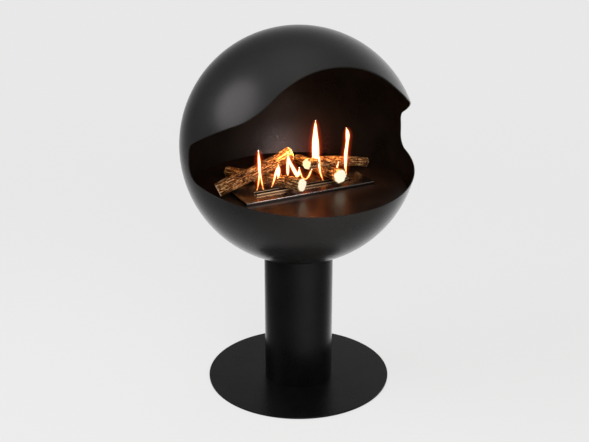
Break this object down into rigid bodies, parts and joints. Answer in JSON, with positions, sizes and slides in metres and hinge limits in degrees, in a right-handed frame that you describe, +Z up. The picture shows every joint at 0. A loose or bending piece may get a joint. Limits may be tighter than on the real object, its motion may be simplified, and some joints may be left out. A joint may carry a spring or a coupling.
{
  "type": "bioethanol fireplace",
  "caption": "Free-standing bioethanol fireplace: hollow steel globe with a side-wide mouth on a tube pedestal and round base, with slot burner, shutter and ceramic logs.",
  "frame": {"origin": "on the floor, at the middle of the central floor pad, on the axis of the pedestal and the globe", "axes": "+Z up along the pedestal; the mouth faces -Y; +X is to the right for someone who stands in front of the mouth"},
  "size_m": [0.6698, 0.6562, 1.0619],
  "materials": {
    "black_steel": "satin black heat-proof powder coat with a very fine grain",
    "hearth_black": "semi-gloss black heat-proof enamel",
    "primed_steel": "matt black primer",
    "plated_steel": "zinc-plated fasteners",
    "floor_rubber": "matt rubber",
    "fibre": "white ceramic-fibre felt",
    "stainless": "satin stainless steel, ground along its length",
    "log_ceramic": "moulded ceramic painted as rough brown bark, with pale cut ends"
  },
  "bodies": {
    "fireplace": {"base_plate": "black_steel", "floor_pads": "floor_rubber", "base_flange": "primed_steel", "base_screws": "plated_steel", "pedestal_tube": "black_steel", "saddle_plate": "primed_steel", "clamp_plate": "primed_steel", "saddle_bolts": "plated_steel", "saddle_washers": "plated_steel", "saddle_nuts": "plated_steel", "firebox_shell": "black_steel", "hearth_brackets": "primed_steel", "bracket_pads": "fibre", "hearth_plate": "hearth_black", "burner_cover": "stainless", "slot_lip_front": "stainless", "slot_lip_rear": "stainless", "burner_casing": "stainless", "fuel_tank": "stainless", "absorbent_pack": "fibre", "pack_grid": "stainless", "shutter_rails": "stainless", "rail_rivets": "plated_steel", "log_left_lower": "log_ceramic", "log_left_upper": "log_ceramic", "log_right_lower": "log_ceramic", "log_right_upper": "log_ceramic"},
    "shutter_slide": {"shutter": "stainless", "shutter_tab": "stainless", "tab_rivets": "plated_steel"}
  },
  "joints": [
    {"name": "shutter_travel", "type": "slide", "parent": "fireplace", "child": "shutter_slide", "axis": [0, -1, 0], "range_m": [0, 0.024]}
  ]
}
